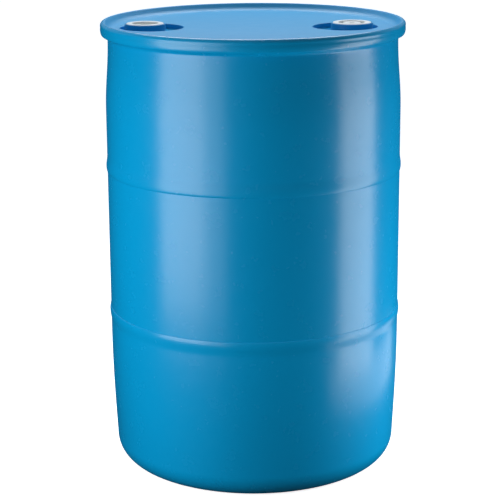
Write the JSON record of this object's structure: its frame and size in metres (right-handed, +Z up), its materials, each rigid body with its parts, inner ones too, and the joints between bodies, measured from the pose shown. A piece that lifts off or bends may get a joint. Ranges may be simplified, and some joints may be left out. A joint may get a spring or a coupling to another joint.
{
  "type": "closed-head plastic drum",
  "caption": "Tall blue closed-head polyethylene drum with a handling rim, rolling hoops, threaded openings in wells and white screw plugs.",
  "frame": {"origin": "centre of the base, on the floor", "axes": "+Z up along the drum's axis; the coarse-threaded opening is towards +X and the fine-threaded one towards -X"},
  "size_m": [0.594, 0.5938, 0.889],
  "materials": {
    "shell_blue": "satin blow-moulded polyethylene",
    "insert_blue": "satin injection-moulded polyethylene",
    "plug_white": "satin injection-moulded polypropylene",
    "gasket_rubber": "matt moulded rubber"
  },
  "bodies": {
    "root": {"drum_body": "shell_blue", "coarse_thread_insert": "insert_blue", "fine_thread_insert": "insert_blue"},
    "coarse_gasket": {"coarse_plug_gasket": "gasket_rubber"},
    "coarse_plug": {"coarse_plug": "plug_white"},
    "small_gasket": {"small_plug_gasket": "gasket_rubber"},
    "small_plug": {"small_plug": "plug_white"},
    "fine_gasket": {"fine_plug_gasket": "gasket_rubber"},
    "fine_plug": {"fine_plug": "plug_white"}
  },
  "joints": [
    {"name": "coarse_plug_lift", "type": "slide", "parent": "root", "child": "coarse_gasket", "axis": [0, 0, 1], "range_m": [0, 0.0115]},
    {"name": "coarse_plug_turn", "type": "hinge", "parent": "coarse_gasket", "child": "coarse_plug", "pos_m": [0.193, 0, 0.87], "axis": [0, 0, 1], "range_deg": [0, 810]},
    {"name": "small_plug_lift", "type": "slide", "parent": "coarse_plug", "child": "small_gasket", "axis": [0, 0, 1], "range_m": [0, 0.0096]},
    {"name": "small_plug_turn", "type": "hinge", "parent": "small_gasket", "child": "small_plug", "pos_m": [0.193, 0, 0.87], "axis": [0, 0, 1], "range_deg": [0, 1890]},
    {"name": "fine_plug_lift", "type": "slide", "parent": "root", "child": "fine_gasket", "axis": [0, 0, 1], "range_m": [0, 0.0117]},
    {"name": "fine_plug_turn", "type": "hinge", "parent": "fine_gasket", "child": "fine_plug", "pos_m": [-0.21, 0, 0.87], "axis": [0, 0, 1], "range_deg": [0, 1890]}
  ],
  "couplings": [
    {"joint": "coarse_plug_lift", "follows": "coarse_plug_turn", "m_per_rad": 0.00080851},
    {"joint": "small_plug_lift", "follows": "small_plug_turn", "m_per_rad": 0.00028871},
    {"joint": "fine_plug_lift", "follows": "fine_plug_turn", "m_per_rad": 0.00035157}
  ]
}
